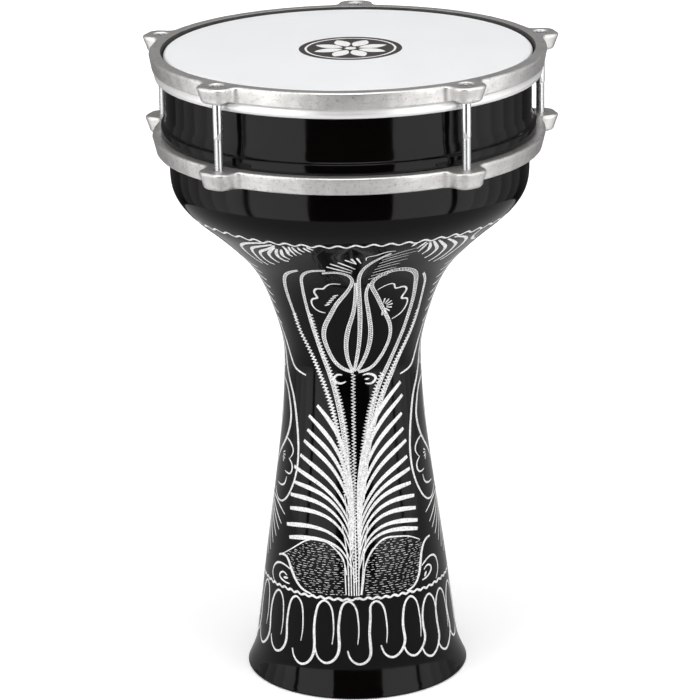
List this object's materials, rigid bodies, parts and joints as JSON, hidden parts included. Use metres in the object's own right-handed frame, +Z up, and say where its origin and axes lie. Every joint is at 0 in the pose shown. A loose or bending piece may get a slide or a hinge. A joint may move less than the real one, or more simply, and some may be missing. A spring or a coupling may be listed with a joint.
{
  "type": "darbuka",
  "caption": "Goblet hand drum with an engraved metal shell, a plastic head, and a cast hoop pulled down to a cast counter ring by socket-head screws.",
  "frame": {"origin": "centre of the ring-shaped land under the foot", "axes": "+Z up along the drum's axis to the head; +Y from the axis to the lug of tension_screw_1, which is away from the player's view of the engraving"},
  "size_m": [0.225, 0.223, 0.35],
  "materials": {
    "lacquered_shell": "black gloss lacquer over aluminium",
    "engraving": "bright hand-cut lines through the lacquer",
    "cast_aluminium": "tumbled casting",
    "drumhead_film": "smooth white polyester",
    "badge_print": "dark print on the film",
    "rolled_aluminium": "polished",
    "lock_resin": "cast resin",
    "screw_steel": "bright zinc plate"
  },
  "bodies": {
    "drum_body": {"shell_stem": "lacquered_shell", "shell_bowl": "lacquered_shell", "counter_ring": "cast_aluminium", "head_film": "drumhead_film", "head_flesh_hoop": "rolled_aluminium", "head_lock_ring": "lock_resin"},
    "hoop": {"tension_hoop": "cast_aluminium"},
    "screw_1": {"tension_screw_1": "screw_steel"},
    "screw_2": {"tension_screw_2": "screw_steel"},
    "screw_3": {"tension_screw_3": "screw_steel"},
    "screw_4": {"tension_screw_4": "screw_steel"},
    "screw_5": {"tension_screw_5": "screw_steel"}
  },
  "joints": [
    {"name": "hoop_lift", "type": "slide", "parent": "drum_body", "child": "hoop", "axis": [0, 0, 1], "range_m": [0, 0.008]},
    {"name": "screw_1_turn", "type": "hinge", "parent": "hoop", "child": "screw_1", "pos_m": [0, 0.1078, 0.3445], "axis": [0, 0, 1], "range_deg": [0, 3600]},
    {"name": "screw_2_turn", "type": "hinge", "parent": "hoop", "child": "screw_2", "pos_m": [-0.10252, 0.03331, 0.3445], "axis": [0, 0, 1], "range_deg": [0, 3600]},
    {"name": "screw_3_turn", "type": "hinge", "parent": "hoop", "child": "screw_3", "pos_m": [-0.06336, -0.08721, 0.3445], "axis": [0, 0, 1], "range_deg": [0, 3600]},
    {"name": "screw_4_turn", "type": "hinge", "parent": "hoop", "child": "screw_4", "pos_m": [0.06336, -0.08721, 0.3445], "axis": [0, 0, 1], "range_deg": [0, 3600]},
    {"name": "screw_5_turn", "type": "hinge", "parent": "hoop", "child": "screw_5", "pos_m": [0.10252, 0.03331, 0.3445], "axis": [0, 0, 1], "range_deg": [0, 3600]}
  ],
  "couplings": [
    {"joint": "screw_1_turn", "follows": "hoop_lift", "rad_per_m": 7854},
    {"joint": "screw_2_turn", "follows": "hoop_lift", "rad_per_m": 7854},
    {"joint": "screw_3_turn", "follows": "hoop_lift", "rad_per_m": 7854},
    {"joint": "screw_4_turn", "follows": "hoop_lift", "rad_per_m": 7854},
    {"joint": "screw_5_turn", "follows": "hoop_lift", "rad_per_m": 7854}
  ]
}
